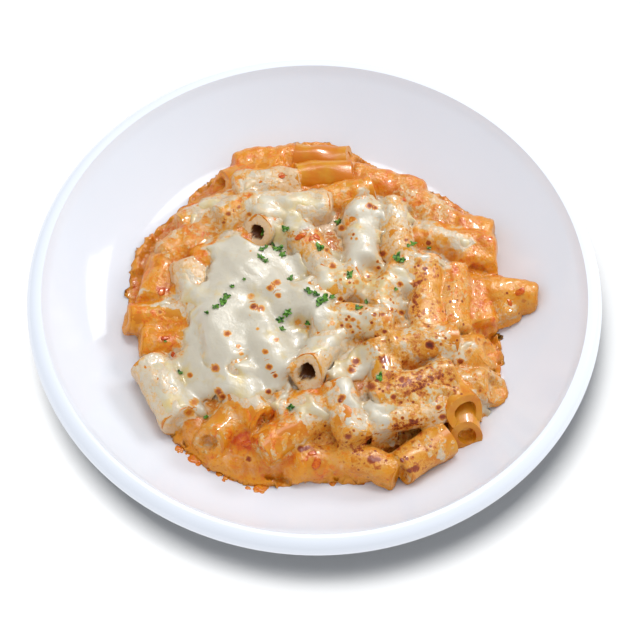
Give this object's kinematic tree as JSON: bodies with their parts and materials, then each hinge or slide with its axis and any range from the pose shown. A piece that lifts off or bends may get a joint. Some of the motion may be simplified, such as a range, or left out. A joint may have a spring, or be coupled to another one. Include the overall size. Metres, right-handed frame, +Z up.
{
  "type": "baked rigatoni in a coupe plate",
  "caption": "Baked rigatoni in tomato cream sauce under browned melted cheese with parsley, heaped in a shallow white glazed coupe plate that stands on a foot ring.",
  "frame": {"origin": "middle of the foot ring, on the surface that the plate stands on", "axes": "+Z up along the plate's turning axis, -Y towards the diner, +X to the diner's right"},
  "size_m": [0.2698, 0.2698, 0.0418],
  "materials": {
    "white_glaze": "smooth clear gloss glaze over cool white porcelain",
    "tomato_cream_sauce": "oily orange tomato cream sauce, wet gloss",
    "sauced_pasta": "boiled amber rigatoni under an uneven coat of sauce, satin to wet",
    "melted_cheese": "melted white and pale yellow cheese with golden and dark brown baked spots, satin",
    "parsley": "chopped fresh leaf, matt with a soft sheen",
    "tomato": "stewed tomato pieces, wet"
  },
  "bodies": {
    "root": {"plate": "white_glaze", "sauce_pool": "tomato_cream_sauce", "pasta_heap": "sauced_pasta", "melted_cheese": "melted_cheese"}
  },
  "joints": []
}
